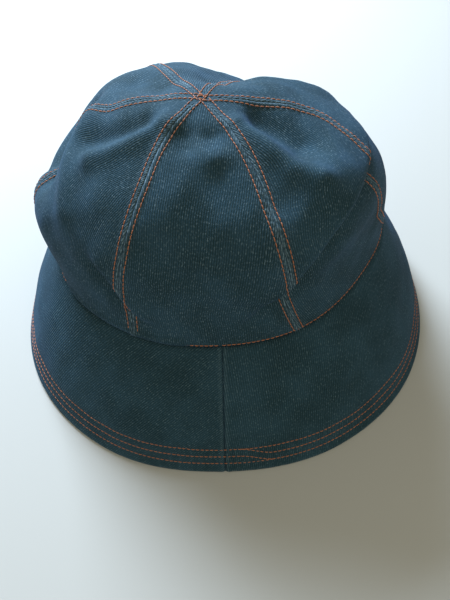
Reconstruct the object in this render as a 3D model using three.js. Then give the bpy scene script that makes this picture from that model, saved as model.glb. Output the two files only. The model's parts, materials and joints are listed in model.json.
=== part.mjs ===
// A soft denim hat: a six-panel crown, slumped into folds, on a two-layer brim that is split at front and
// back.
// Millimetres. +Z is up, the floor is z = 0, and the seen side of the hat faces -Y.
// Angles go round the hat in degrees: 0 at the front, 90 at the viewer's right (+X), 180 behind.
import * as THREE from 'three';

// Main sizes
const HEAD_RADIUS = 95; // of the seam between crown and brim
const SEAM_HEIGHT = 62; // of that seam above the floor
const CROWN_HEIGHT = 90; // from that seam to the top
const EDGE_RADIUS = 137; // of the brim's edge on the floor
const CLOTH = 1.6; // one layer of denim in the crown
const BRIM_LAYER = 1.3; // each of the brim's two layers
const GAP = 0.3; // between neighbouring pieces
const BRIM_BOW = 4; // how far the brim bellies out of a straight cone

// Where the axis of each level stands, as shares of the head radius
const SEAM_AXIS = { x: -0.02, y: 0.04 };
const TOP_AXIS = { x: -0.126, y: 0.042 };
const EDGE_AXIS = { x: 0, y: -0.02 };
const AXIS_BEND = 1.5;

// A table's rows by column name.
function table(columns, rows) {
  const names = columns.split(' ');
  return rows.map((row) => Object.fromEntries(names.map((name, k) => [name, row[k]])));
}

// The crown's section. level runs from the seam (0) to the top (1). out is a share of the head radius and up
// of the crown's height. rim, belly and shoulder are how much of each swell the level takes.
const SECTION = table('level out up rim belly shoulder', [
  [0.0, 1.0, 0.0, 1.0, 0.0, 0.0],
  [0.12, 1.03, 0.14, 0.6, 0.5, 0.0],
  [0.26, 1.06, 0.33, 0.1, 1.0, 0.2],
  [0.42, 0.99, 0.56, 0.0, 0.6, 0.7],
  [0.58, 0.8, 0.78, 0.0, 0.1, 1.0],
  [0.76, 0.48, 0.925, 0.0, 0.0, 0.6],
  [0.9, 0.2, 0.985, 0.0, 0.0, 0.15],
  [1.0, 0.0, 1.0, 0.0, 0.0, 0.0],
]);

// How the slumped hat swells (+) and sinks (-) round the section, in shares of the head radius.
const SWELL = table('angle rimOut rimUp bellyOut bellyUp shoulderOut shoulderUp edgeOut', [
  [-180, -0.01, 0.04, 0.02, -0.02, -0.08, -0.09, -0.08],
  [-150, 0.0, 0.04, 0.04, 0.0, -0.04, -0.02, -0.1],
  [-120, 0.02, 0.04, 0.07, -0.02, -0.01, 0.0, -0.1],
  [-90, 0.06, 0.04, 0.09, -0.04, -0.04, -0.02, -0.02],
  [-60, 0.09, 0.02, 0.0, -0.03, -0.03, -0.03, 0.065],
  [-30, 0.02, 0.0, -0.11, 0.0, -0.07, -0.02, 0.052],
  [0, -0.04, 0.0, -0.16, 0.0, -0.08, 0.0, -0.01],
  [30, -0.04, 0.0, -0.16, 0.0, -0.02, 0.0, 0.018],
  [60, -0.02, 0.02, -0.16, 0.02, 0.05, 0.0, 0.045],
  [90, 0.06, 0.04, -0.03, 0.02, 0.0, -0.01, 0.01],
  [120, 0.02, 0.04, -0.04, 0.0, -0.04, -0.02, -0.04],
  [150, -0.01, 0.04, 0.0, -0.02, -0.1, -0.09, -0.08],
]);

// The six crown seams: their angle at each of these levels.
const SEAM_LEVELS = [0, 0.3, 0.6, 0.72, 1];
const SEAMS = table('name angles', [
  ['front_left', [-30, -33, -34, -36, -48]],
  ['front_right', [28, 23, 24, 27, 36]],
  ['right', [89, 75, 75, 93, 102]],
  ['back_right', [150, 152, 163, 166, 170]],
  ['back_left', [210, 210, 210, 211, 214]],
  ['left', [272, 273, 257, 260, 246]],
]);
const PANELS = table('name from', [
  ['crown_panel_front', 0],
  ['crown_panel_front_right', 1],
  ['crown_panel_back_right', 2],
  ['crown_panel_back', 3],
  ['crown_panel_back_left', 4],
  ['crown_panel_front_left', 5],
]);

// Soft ridges (lift above 0) and dents (below 0). Each line is rows of angle and level; lift and wide are
// shares of the head radius.
const RIDGES = table('name lift wide line', [
  ['ridge on the right front', 0.06, 0.075, [[49, 0.88], [48, 0.84], [45, 0.77], [45, 0.71], [48, 0.66]]],
  ['hollow above that ridge', -0.075, 0.12, [[68, 0.85], [66, 0.8], [64, 0.75]]],
  ['ridge on the left front', 0.045, 0.075, [[-58, 0.86], [-61, 0.77], [-65, 0.7], [-70, 0.64]]],
  ['furrow above it', -0.05, 0.085, [[-72, 0.82], [-74, 0.76], [-78, 0.69], [-84, 0.62]]],
  ['dimple below the top', -0.03, 0.065, [[-22, 0.86], [-19, 0.83]]],
  ['dimple beside it', -0.03, 0.065, [[8, 0.86], [8, 0.84]]],
  ['knob below the dimples', 0.025, 0.07, [[4, 0.81], [5, 0.79]]],
  ['soft valley down the front', -0.025, 0.12, [[4, 0.7], [-7, 0.57], [-14, 0.44]]],
  ['dent behind on the left', -0.045, 0.15, [[-130, 0.82], [-126, 0.72]]],
  ['furrow over the left side', -0.095, 0.12, [[-114, 0.53], [-100, 0.47], [-88, 0.42]]],
  ['crest before that furrow', 0.03, 0.08, [[-98, 0.62], [-84, 0.57], [-72, 0.52], [-64, 0.46]]],
  ['notch of the left side', -0.09, 0.12, [[-113, 0.43], [-105, 0.39], [-100, 0.37]]],
  ['swell of the left side', 0.03, 0.12, [[-91, 0.35], [-82, 0.33], [-72, 0.34]]],
  ['hollow of the right front', -0.025, 0.1, [[31, 0.62], [35, 0.56]]],
  ['swell above the right tuck', 0.03, 0.12, [[21, 0.49], [39, 0.59], [58, 0.66]]],
  ['swell behind on the right', 0.025, 0.14, [[142, 0.68], [134, 0.62], [126, 0.57]]],
  ['groove behind', -0.05, 0.13, [[172, 0.8], [168, 0.66], [160, 0.5], [158, 0.34]]],
  ['swell behind', 0.04, 0.16, [[196, 0.5], [188, 0.36], [184, 0.2]]],
]);

// Tucks: above the line the cloth stands out and hangs over what is below it. lift, sink, hang, step and
// wide are shares of the head radius.
const TUCKS = table('name lift sink hang step wide line', [
  ['right tuck', 0.06, 0.06, 0.05, 0.11, 0.24,
    [[5, 0.1], [12, 0.21], [22, 0.33], [34, 0.45], [47, 0.53],
      [62, 0.57], [80, 0.57], [98, 0.55], [114, 0.52]]],
  ['left tuck', 0.025, 0.03, 0.04, 0.1, 0.19,
    [[-50, 0.4], [-42, 0.36], [-35, 0.27], [-29, 0.17], [-21, 0.11]]],
  ['back tuck', 0.035, 0.03, 0.03, 0.1, 0.2,
    [[128, 0.26], [150, 0.22], [176, 0.24]]],
]);
const TUCK_PINCH = 0.5; // reach of the sunk side, as a share of the width above the line
const TUCK_SAG = 0.6; // reach of the hanging part, as a share of that width
const FADE = 0.25; // the part of a tuck's line over which it dies away at each end
const SEAM_HOLD = 0.09; // the level up to which the brim seam holds the folds flat

// Facets
const ACROSS_PANEL = 12;
const UP_PANEL = 26;
const ACROSS_BRIM = 34;
const DOWN_BRIM = 5;
const LINE_STEPS = 12; // chords in each stretch of a fold's line
const LOOK_ANGLE = 4; // half the span over which the cloth's facing is taken, in degrees
const LOOK_LEVEL = 0.035; // and in level

// Cloth
const DENIM = { color: 0x2f4c63, roughness: 0.93, metalness: 0 };
const DENIM_BRIM = { color: 0x2b4558, roughness: 0.93, metalness: 0 };

const radians = (degrees) => (degrees * Math.PI) / 180;
const share = (fraction) => fraction * HEAD_RADIUS;
const lerp = (from, to, t) => from + (to - from) * t;

function eased(x) {
  const t = Math.min(Math.max(x, 0), 1);
  return t * t * (3 - 2 * t);
}

// A smooth curve through rows of (at, value).
function curve(at, values, x) {
  const last = at.length - 1;
  let i = 0;
  while (i < last - 1 && x >= at[i + 1]) {
    i += 1;
  }
  const slope = (k) => {
    const low = Math.max(k - 1, 0);
    const high = Math.min(k + 1, last);
    return (values[high] - values[low]) / (at[high] - at[low]);
  };
  const span = at[i + 1] - at[i];
  const t = (x - at[i]) / span;
  const t2 = t * t;
  const t3 = t2 * t;
  return (2 * t3 - 3 * t2 + 1) * values[i] + (t3 - 2 * t2 + t) * span * slope(i)
    + (3 * t2 - 2 * t3) * values[i + 1] + (t3 - t2) * span * slope(i + 1);
}

// The section carried a little way over the top, so that it is smooth there.
const OVER_TOP = SECTION.slice(-3, -1).reverse();
const SECTION_AT = [...SECTION.map((row) => row.level), ...OVER_TOP.map((row) => 2 - row.level)];
function section(column, level) {
  const sign = column === 'out' ? -1 : 1;
  const values = [...SECTION.map((row) => row[column]), ...OVER_TOP.map((row) => sign * row[column])];
  return curve(SECTION_AT, values, level);
}

// The swell at any angle, carried round the ends of its table.
const TURN = 360;
const SWELL_ROWS = [
  ...SWELL.slice(-2).map((row) => ({ ...row, angle: row.angle - TURN })),
  ...SWELL,
  ...SWELL.slice(0, 3).map((row) => ({ ...row, angle: row.angle + TURN })),
];
const SWELL_AT = SWELL_ROWS.map((row) => row.angle);
function swell(column, angle) {
  const turned = angle - TURN * Math.floor((angle + TURN / 2) / TURN);
  return share(curve(SWELL_AT, SWELL_ROWS.map((row) => row[column]), turned));
}

function onRing(axis, radius, angle, height) {
  const a = radians(angle);
  return new THREE.Vector3(axis.x + radius * Math.sin(a), axis.y - radius * Math.cos(a), height);
}

// The crown's outer face before any fold.
function plainCrown(angle, level) {
  const rim = section('rim', level);
  const belly = section('belly', level);
  const shoulder = section('shoulder', level);
  const blend = (way) => rim * swell(`rim${way}`, angle)
    + belly * swell(`belly${way}`, angle)
    + shoulder * swell(`shoulder${way}`, angle);
  const radius = HEAD_RADIUS * section('out', level) + blend('Out');
  const height = SEAM_HEIGHT + CROWN_HEIGHT * section('up', level) + blend('Up');
  const lean = level ** AXIS_BEND;
  const axis = {
    x: share(lerp(SEAM_AXIS.x, TOP_AXIS.x, lean)),
    y: share(lerp(SEAM_AXIS.y, TOP_AXIS.y, lean)),
  };
  return onRing(axis, radius, angle, height);
}

// The way the cloth faces, and the way up it, from how a face runs either side of a point.
function facing(face, angle, level) {
  const round = face(angle + LOOK_ANGLE, level).sub(face(angle - LOOK_ANGLE, level)).normalize();
  const high = Math.min(level + LOOK_LEVEL, 1);
  const low = Math.max(level - LOOK_LEVEL, 0);
  const up = face(angle, high).sub(face(angle, low)).normalize();
  return { round, up, out: round.clone().cross(up).normalize() };
}

// The points of a fold's line on the plain crown, each with the way along it and the way to its upper side.
function tracedLine(line) {
  const rows = line.map((row, k) => k);
  const at = (x) => [curve(rows, line.map((row) => row[0]), x), curve(rows, line.map((row) => row[1]), x)];
  const count = (line.length - 1) * LINE_STEPS;
  const spots = Array.from({ length: count + 1 }, (_, k) => at(k / LINE_STEPS));
  const points = spots.map(([angle, level]) => plainCrown(angle, level));
  return points.map((point, k) => {
    const along = points[Math.min(k + 1, count)].clone().sub(points[Math.max(k - 1, 0)]).normalize();
    const { out } = facing(plainCrown, spots[k][0], spots[k][1]);
    return { point, along, side: out.clone().cross(along), part: k / count };
  });
}
function traced(folds) {
  return folds.map((fold) => {
    const trace = tracedLine(fold.line);
    const long = trace.slice(1).reduce((sum, spot, k) => sum + spot.point.distanceTo(trace[k].point), 0);
    return { ...fold, trace, long };
  });
}
const RIDGE_LINES = traced(RIDGES);
const TUCK_LINES = traced(TUCKS);

// Where a point stands to a fold's line: how far above it, how far past an end, and at which part of it.
function standing(fold, point) {
  let nearest = fold.trace[0];
  for (const spot of fold.trace) {
    if (spot.point.distanceToSquared(point) < nearest.point.distanceToSquared(point)) {
      nearest = spot;
    }
  }
  const away = point.clone().sub(nearest.point);
  const atEnd = nearest.part === 0 || nearest.part === 1;
  const ahead = away.dot(nearest.along);
  return {
    above: away.dot(nearest.side) / share(fold.wide),
    past: atEnd ? ahead / share(fold.wide) : 0,
    side: nearest.side,
    part: nearest.part + ahead / fold.long,
  };
}
const bell = (x) => Math.exp(-x * x);

// The crown's outer face with its ridges, dents and tucks.
function crownFace(angle, level) {
  const point = plainCrown(angle, level);
  const { out } = facing(plainCrown, angle, level);
  const free = eased(level / SEAM_HOLD);
  const moved = point.clone();
  for (const ridge of RIDGE_LINES) {
    const { above, past } = standing(ridge, point);
    moved.addScaledVector(out, free * share(ridge.lift) * bell(above) * bell(past));
  }
  for (const tuck of TUCK_LINES) {
    const { above, past, side, part } = standing(tuck, point);
    const left = free * bell(past) * eased(part / FADE) * eased((1 - part) / FADE);
    const rise = eased((above * tuck.wide) / tuck.step + 0.5);
    const high = bell(Math.max(above, 0));
    const low = bell(Math.min(above, 0) / TUCK_PINCH);
    moved.addScaledVector(out, share(tuck.lift * rise * high - tuck.sink * (1 - rise) * low) * left);
    moved.addScaledVector(side, -share(tuck.hang) * rise * bell(Math.max(above, 0) / TUCK_SAG) * left);
  }
  return moved;
}

// The brim's upper face: reach runs from the seam (0) to the edge on the floor (1).
function brimFace(angle, reach) {
  const seam = plainCrown(angle, 0);
  const axis = { x: share(EDGE_AXIS.x), y: share(EDGE_AXIS.y) };
  const edge = onRing(axis, EDGE_RADIUS + swell('edgeOut', angle), angle, 0);
  const fall = edge.clone().sub(seam);
  const a = radians(angle);
  const outward = new THREE.Vector3(-fall.z * Math.sin(a), fall.z * Math.cos(a), Math.hypot(fall.x, fall.y));
  outward.normalize();
  return seam.addScaledVector(fall, reach).addScaledVector(outward, BRIM_BOW * Math.sin(Math.PI * reach));
}

// At the crown-brim seam both cloths are cut along one mitre; step is the way across it, up the crown.
function mitre(angle) {
  const crown = facing(plainCrown, angle, 0).out;
  const along = facing(plainCrown, angle, 0).round;
  const down = brimFace(angle, LOOK_LEVEL).sub(brimFace(angle, 0)).normalize();
  const brim = down.clone().cross(along).normalize();
  const inward = crown.add(brim).normalize().negate();
  return { inward, step: along.clone().cross(inward).normalize() };
}

// A closed shell from two grids of points, rows by columns, the outer one seen from outside with its rows
// going up and its columns going right. With a tip, each grid's last row is drawn together into one point.
function shell(outer, inner, tip) {
  const rows = outer.length;
  const columns = outer[0].length;
  const positions = [];
  const index = [];
  const ids = [outer, inner].map((grid) => grid.map((row, j) => {
    const first = positions.length / 3;
    const drawn = tip && j === rows - 1;
    const kept = drawn ? [row[0]] : row;
    kept.forEach((p) => positions.push(p.x, p.y, p.z));
    return row.map((_, i) => (drawn ? first : first + i));
  }));
  const face = (a, b, c) => {
    if (a !== b && b !== c && c !== a) {
      index.push(a, b, c);
    }
  };
  const quad = (a, b, c, d) => {
    face(a, b, c);
    face(a, c, d);
  };
  const [out, back] = ids;
  for (let j = 0; j < rows - 1; j += 1) {
    for (let i = 0; i < columns - 1; i += 1) {
      quad(out[j][i], out[j][i + 1], out[j + 1][i + 1], out[j + 1][i]);
      quad(back[j][i + 1], back[j][i], back[j + 1][i], back[j + 1][i + 1]);
    }
    quad(back[j][0], out[j][0], out[j + 1][0], back[j + 1][0]);
    quad(out[j][columns - 1], back[j][columns - 1], back[j + 1][columns - 1], out[j + 1][columns - 1]);
  }
  for (let i = 0; i < columns - 1; i += 1) {
    quad(back[0][i], back[0][i + 1], out[0][i + 1], out[0][i]);
    quad(out[rows - 1][i], out[rows - 1][i + 1], back[rows - 1][i + 1], back[rows - 1][i]);
  }
  const geometry = new THREE.BufferGeometry();
  geometry.setAttribute('position', new THREE.Float32BufferAttribute(positions, 3));
  geometry.setIndex(index);
  geometry.computeVertexNormals();
  return geometry;
}

function piece(name, geometry, cloth) {
  const mesh = new THREE.Mesh(geometry, new THREE.MeshStandardMaterial(cloth));
  mesh.name = name;
  return mesh;
}

function seamAngle(number, level) {
  const turns = Math.floor(number / SEAMS.length);
  return curve(SEAM_LEVELS, SEAMS[number % SEAMS.length].angles, level) + turns * TURN;
}

// A crown panel between two seams, drawn to a point at the top. Half the gap is kept clear of each seam.
function crownPanel(from) {
  const half = radians(seamAngle(from + 1, 1) - seamAngle(from, 1)) / 2;
  const tipOut = GAP / 2 / Math.sin(half);
  const topSlope = section('out', 1 - LOOK_LEVEL) * HEAD_RADIUS / LOOK_LEVEL;
  const tipLevel = 1 - tipOut / topSlope;
  const outer = [];
  const inner = [];
  const plumb = new THREE.Vector3(0, 0, -1);
  for (let j = 0; j <= UP_PANEL; j += 1) {
    const level = tipLevel * (j / UP_PANEL);
    const left = seamAngle(from, level);
    const right = seamAngle(from + 1, level);
    const outerRow = [];
    const innerRow = [];
    for (let i = 0; i <= ACROSS_PANEL; i += 1) {
      const angle = lerp(left, right, i / ACROSS_PANEL);
      const point = crownFace(angle, level);
      const { round, out } = facing(crownFace, angle, level);
      const inset = lerp(GAP / 2, -GAP / 2, i / ACROSS_PANEL);
      let inward = out.negate();
      if (j === UP_PANEL) {
        inward = plumb;
      } else {
        point.addScaledVector(round, inset);
      }
      if (j === 0) {
        const seam = mitre(angle);
        inward = seam.inward;
        point.addScaledVector(seam.step, GAP / 2);
      }
      outerRow.push(point);
      innerRow.push(point.clone().addScaledVector(inward, CLOTH));
    }
    outer.push(outerRow);
    inner.push(innerRow);
  }
  const middle = Math.round(ACROSS_PANEL / 2);
  outer[UP_PANEL].fill(outer[UP_PANEL][middle]);
  inner[UP_PANEL].fill(inner[UP_PANEL][middle]);
  return shell(outer, inner, true);
}

// One layer of one half of the brim. Its edge is cut level with the floor, so that the hat rests on it.
function brimLayer(fromAngle, depth) {
  const grids = [depth, depth + BRIM_LAYER].map((deep) => {
    const grid = [];
    for (let j = DOWN_BRIM; j >= 0; j -= 1) {
      const reach = j / DOWN_BRIM;
      const row = [];
      for (let i = 0; i <= ACROSS_BRIM; i += 1) {
        const angle = fromAngle + (TURN / 2) * (i / ACROSS_BRIM);
        row.push(brimPoint(angle, reach, deep, lerp(GAP / 2, -GAP / 2, i / ACROSS_BRIM)));
      }
      grid.push(row);
    }
    return grid;
  });
  return shell(grids[0], grids[1], false);
}

// A point of the brim at a depth below its upper face, moved aside to keep the gap at the end seams.
function brimPoint(angle, reach, deep, aside) {
  const point = brimFace(angle, reach);
  const { round } = facing(brimFace, angle, reach);
  const high = Math.max(reach - LOOK_LEVEL, 0);
  const low = Math.min(reach + LOOK_LEVEL, 1);
  const down = brimFace(angle, low).sub(brimFace(angle, high)).normalize();
  const inward = round.clone().cross(down).normalize();
  if (reach === 0) {
    const seam = mitre(angle);
    point.addScaledVector(seam.step, -GAP / 2).addScaledVector(seam.inward, deep / seam.inward.dot(inward));
  } else if (reach === 1) {
    const level = new THREE.Vector3(inward.x, inward.y, 0).normalize();
    point.addScaledVector(level, deep / level.dot(inward));
    point.z = 0;
  } else {
    point.addScaledVector(inward, deep);
  }
  const along = new THREE.Vector3(round.x, round.y, 0).normalize();
  return point.addScaledVector(along, aside);
}

const hat = new THREE.Group();
hat.name = 'denim_hat';
for (const { name, from } of PANELS) {
  hat.add(piece(name, crownPanel(from), DENIM));
}
const BRIM_HALVES = [
  { name: 'right', from: 0 },
  { name: 'left', from: TURN / 2 },
];
const BRIM_LAYERS = [
  { name: 'brim_top', depth: 0 },
  { name: 'brim_under', depth: BRIM_LAYER + GAP },
];
for (const layer of BRIM_LAYERS) {
  for (const half of BRIM_HALVES) {
    hat.add(piece(`${layer.name}_${half.name}`, brimLayer(half.from, layer.depth), DENIM_BRIM));
  }
}

// The middle of the hat's outline stands over the origin, and its edge on the floor.
const box = new THREE.Box3().setFromObject(hat);
const middle = box.getCenter(new THREE.Vector3());
for (const mesh of hat.children) {
  mesh.geometry.translate(-middle.x, -middle.y, -box.min.z);
}

export default hat;
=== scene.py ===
# %% [markdown]
# # A soft denim hat
#
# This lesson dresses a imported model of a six-panel denim hat. The hat lies on the floor on its brim's
# edge, and its crown has slumped into folds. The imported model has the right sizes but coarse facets.
# Each cloth piece is made again here from the same shape functions, finer, with its seams, its puckers
# and its stitches as real geometry. All lengths are in metres, +Z is up, and the seen side faces -Y.

# %% Load the frame
import json
import math

import bpy
import numpy as np
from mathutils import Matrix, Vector

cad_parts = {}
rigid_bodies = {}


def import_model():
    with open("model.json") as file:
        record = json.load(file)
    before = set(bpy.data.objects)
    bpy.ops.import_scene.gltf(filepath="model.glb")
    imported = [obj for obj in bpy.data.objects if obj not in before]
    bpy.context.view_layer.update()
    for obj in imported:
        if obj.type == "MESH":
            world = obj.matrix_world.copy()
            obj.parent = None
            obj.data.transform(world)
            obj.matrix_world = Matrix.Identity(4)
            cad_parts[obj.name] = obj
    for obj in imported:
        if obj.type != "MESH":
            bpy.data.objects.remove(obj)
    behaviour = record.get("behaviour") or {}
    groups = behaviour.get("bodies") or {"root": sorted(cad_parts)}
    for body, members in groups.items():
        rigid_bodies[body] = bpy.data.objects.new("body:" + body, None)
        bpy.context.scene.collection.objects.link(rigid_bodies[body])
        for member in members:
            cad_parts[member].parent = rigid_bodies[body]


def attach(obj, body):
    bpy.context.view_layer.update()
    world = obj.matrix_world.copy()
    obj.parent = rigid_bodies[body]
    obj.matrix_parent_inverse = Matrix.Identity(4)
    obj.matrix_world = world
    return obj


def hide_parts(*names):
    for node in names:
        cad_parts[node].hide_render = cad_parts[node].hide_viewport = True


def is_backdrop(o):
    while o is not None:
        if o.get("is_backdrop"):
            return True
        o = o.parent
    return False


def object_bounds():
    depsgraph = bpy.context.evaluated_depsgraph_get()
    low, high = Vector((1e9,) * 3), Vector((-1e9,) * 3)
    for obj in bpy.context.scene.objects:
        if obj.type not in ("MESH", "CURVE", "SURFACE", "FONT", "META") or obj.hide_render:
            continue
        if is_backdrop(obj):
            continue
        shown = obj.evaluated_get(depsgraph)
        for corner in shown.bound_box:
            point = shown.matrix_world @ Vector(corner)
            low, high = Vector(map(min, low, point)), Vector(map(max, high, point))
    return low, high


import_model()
cad_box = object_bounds()
MM = 0.001
print("frame box", [round(c, 4) for corner in cad_box for c in corner])

# %% [markdown]
# ## The main sizes
#
# A sewn crown could be cloth-simulated from flat panels, but the result would wander from the packed
# model. Instead the crown is one smooth surface over two numbers: the angle round the hat (0 at the
# front, 90 at the right) and the level, from the brim seam (0) to the top (1). The sizes below are
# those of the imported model. The slumped crown leans, so the middle of each height stands a little
# aside; an axis is a pair of shares of the head radius.

# %% Main sizes
HEAD_RADIUS = 95 * MM
SEAM_HEIGHT = 62 * MM
CROWN_HEIGHT = 90 * MM
EDGE_RADIUS = 137 * MM
BRIM_BOW = 4 * MM
CLOTH = 1.6 * MM
BRIM_LAYER = 1.3 * MM
TURN = 360
SEAM_AXIS = (-0.02, 0.04)
TOP_AXIS = (-0.126, 0.042)
EDGE_AXIS = (0.0, -0.02)
AXIS_BEND = 1.5
print("head", round(2 * math.pi * HEAD_RADIUS / MM), "mm round, crown", round(CROWN_HEIGHT / MM), "mm high")

# %% [markdown]
# ## The dome and its swells
#
# The section is the profile of a plain dome. Worn cloth is never that round: it swells over one side
# and sinks on another. The second table says by how much, every 30 degrees, at the rim, the belly and
# the shoulder of the section, which each take a share of it. All lengths are shares of the head radius,
# and up is of the crown's height.

# %% Section and swell tables
def table(names, rows):
    """Named columns from short rows."""
    return {name: np.array([row[k] for row in rows], float) for k, name in enumerate(names.split())}


SECTION = table("level out up rim belly shoulder", [
    (0.0, 1.0, 0.0, 1.0, 0.0, 0.0),
    (0.12, 1.03, 0.14, 0.6, 0.5, 0.0),
    (0.26, 1.06, 0.33, 0.1, 1.0, 0.2),
    (0.42, 0.99, 0.56, 0.0, 0.6, 0.7),
    (0.58, 0.8, 0.78, 0.0, 0.1, 1.0),
    (0.76, 0.48, 0.925, 0.0, 0.0, 0.6),
    (0.9, 0.2, 0.985, 0.0, 0.0, 0.15),
    (1.0, 0.0, 1.0, 0.0, 0.0, 0.0),
])
SWELL = table("angle rim_out rim_up belly_out belly_up shoulder_out shoulder_up edge_out", [
    (-180, -0.01, 0.04, 0.02, -0.02, -0.08, -0.09, -0.08),
    (-150, 0.0, 0.04, 0.04, 0.0, -0.04, -0.02, -0.1),
    (-120, 0.02, 0.04, 0.07, -0.02, -0.01, 0.0, -0.1),
    (-90, 0.06, 0.04, 0.09, -0.04, -0.04, -0.02, -0.02),
    (-60, 0.09, 0.02, 0.0, -0.03, -0.03, -0.03, 0.065),
    (-30, 0.02, 0.0, -0.11, 0.0, -0.07, -0.02, 0.052),
    (0, -0.04, 0.0, -0.16, 0.0, -0.08, 0.0, -0.01),
    (30, -0.04, 0.0, -0.16, 0.0, -0.02, 0.0, 0.018),
    (60, -0.02, 0.02, -0.16, 0.02, 0.05, 0.0, 0.045),
    (90, 0.06, 0.04, -0.03, 0.02, 0.0, -0.01, 0.01),
    (120, 0.02, 0.04, -0.04, 0.0, -0.04, -0.02, -0.04),
    (150, -0.01, 0.04, 0.0, -0.02, -0.1, -0.09, -0.08),
])
print(len(SECTION["level"]), "levels and", len(SWELL["angle"]), "angles")

# %% [markdown]
# ## The six crown seams
#
# Six wedges of cloth meet at the top. On a new hat their seams run straight up, and on this slumped one
# they wander sideways with the cloth, so each seam has its own angle at five levels.

# %% Seams
SEAM_LEVELS = [0, 0.3, 0.6, 0.72, 1]
SEAMS = {
    "front_left": [-30, -33, -34, -36, -48],
    "front_right": [28, 23, 24, 27, 36],
    "right": [89, 75, 75, 93, 102],
    "back_right": [150, 152, 163, 166, 170],
    "back_left": [210, 210, 210, 211, 214],
    "left": [272, 273, 257, 260, 246],
}
print(len(SEAMS), "seams")

# %% [markdown]
# ## Ridges and dents
#
# Soft cloth that slumps shows where it is held and where it gives way. Such forms could be sculpted by
# hand, but a short line for each keeps them easy to move: its points are (angle, level), its lift is
# above 0 for a ridge and below 0 for a dent, and wide is how far it reaches to each side.

# %% Ridges and dents
def named(names, rows):
    """One dictionary for each row."""
    return [dict(zip(names.split(), row)) for row in rows]


RIDGES = named("name lift wide line", [
    ("ridge on the right front", 0.06, 0.075, [(49, 0.88), (48, 0.84), (45, 0.77), (45, 0.71), (48, 0.66)]),
    ("hollow above that ridge", -0.075, 0.12, [(68, 0.85), (66, 0.8), (64, 0.75)]),
    ("ridge on the left front", 0.045, 0.075, [(-58, 0.86), (-61, 0.77), (-65, 0.7), (-70, 0.64)]),
    ("furrow above it", -0.05, 0.085, [(-72, 0.82), (-74, 0.76), (-78, 0.69), (-84, 0.62)]),
    ("dimple below the top", -0.03, 0.065, [(-22, 0.86), (-19, 0.83)]),
    ("dimple beside it", -0.03, 0.065, [(8, 0.86), (8, 0.84)]),
    ("knob below the dimples", 0.025, 0.07, [(4, 0.81), (5, 0.79)]),
    ("soft valley down the front", -0.025, 0.12, [(4, 0.7), (-7, 0.57), (-14, 0.44)]),
    ("dent behind on the left", -0.045, 0.15, [(-130, 0.82), (-126, 0.72)]),
    ("furrow over the left side", -0.095, 0.12, [(-114, 0.53), (-100, 0.47), (-88, 0.42)]),
    ("crest before that furrow", 0.03, 0.08, [(-98, 0.62), (-84, 0.57), (-72, 0.52), (-64, 0.46)]),
    ("notch of the left side", -0.09, 0.12, [(-113, 0.43), (-105, 0.39), (-100, 0.37)]),
    ("swell of the left side", 0.03, 0.12, [(-91, 0.35), (-82, 0.33), (-72, 0.34)]),
    ("hollow of the right front", -0.025, 0.1, [(31, 0.62), (35, 0.56)]),
    ("swell above the right tuck", 0.03, 0.12, [(21, 0.49), (39, 0.59), (58, 0.66)]),
    ("swell behind on the right", 0.025, 0.14, [(142, 0.68), (134, 0.62), (126, 0.57)]),
    ("groove behind", -0.05, 0.13, [(172, 0.8), (168, 0.66), (160, 0.5), (158, 0.34)]),
    ("swell behind", 0.04, 0.16, [(196, 0.5), (188, 0.36), (184, 0.2)]),
])
print("; ".join(ridge["name"] for ridge in RIDGES))

# %% [markdown]
# ## Tucks
#
# A tuck is where the upper cloth has slid down over the lower. Above its line the cloth stands out by
# lift and hangs down by hang, and below the line it sinks by sink. The change takes place over the
# step. A tuck could be real overlapping cloth, but a steep step looks the same and can't cut itself.

# %% Tucks
TUCKS = named("name lift sink hang step wide line", [
    ("right tuck", 0.06, 0.06, 0.05, 0.11, 0.24,
     [(5, 0.1), (12, 0.21), (22, 0.33), (34, 0.45), (47, 0.53), (62, 0.57), (80, 0.57), (98, 0.55),
      (114, 0.52)]),
    ("left tuck", 0.025, 0.03, 0.04, 0.1, 0.19,
     [(-50, 0.4), (-42, 0.36), (-35, 0.27), (-29, 0.17), (-21, 0.11)]),
    ("back tuck", 0.035, 0.03, 0.03, 0.1, 0.2,
     [(128, 0.26), (150, 0.22), (176, 0.24)]),
])
print("; ".join(tuck["name"] for tuck in TUCKS))

# %% [markdown]
# ## Smooth curves
#
# A table gives a few rows and the cloth needs a value everywhere. Straight lines between the rows would
# leave corners, so the values are joined by a smooth curve. Three small helpers come back all through
# the lesson: an eased step from 0 to 1, a bell that is 1 in the middle and dies away, and the unit
# vector.

# %% Curves
def curve(at, values, x):
    """A smooth curve through rows of (at, value)."""
    at, values = np.asarray(at, float), np.asarray(values, float)
    slope = np.empty_like(values)
    slope[1:-1] = (values[2:] - values[:-2]) / (at[2:] - at[:-2])
    slope[0] = (values[1] - values[0]) / (at[1] - at[0])
    slope[-1] = (values[-1] - values[-2]) / (at[-1] - at[-2])
    i = np.clip(np.searchsorted(at, x, side="right") - 1, 0, len(at) - 2)
    span = at[i + 1] - at[i]
    t = (x - at[i]) / span
    t2, t3 = t * t, t * t * t
    return ((2 * t3 - 3 * t2 + 1) * values[i] + (t3 - 2 * t2 + t) * span * slope[i]
            + (3 * t2 - 2 * t3) * values[i + 1] + (t3 - t2) * span * slope[i + 1])


def eased(x):
    t = np.clip(x, 0, 1)
    return t * t * (3 - 2 * t)


def bell(x):
    return np.exp(-np.square(x))


def unit(v):
    return v / np.maximum(np.linalg.norm(v, axis=-1, keepdims=True), 1e-12)


print("halfway up an eased step:", eased(0.5))

# %% [markdown]
# ## The plain dome
#
# The section is carried a little way over the top so that it is smooth there, and the swells are
# carried round the ends of their table. A point of the dome then needs a radius, a height and the axis
# at its level.

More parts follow.
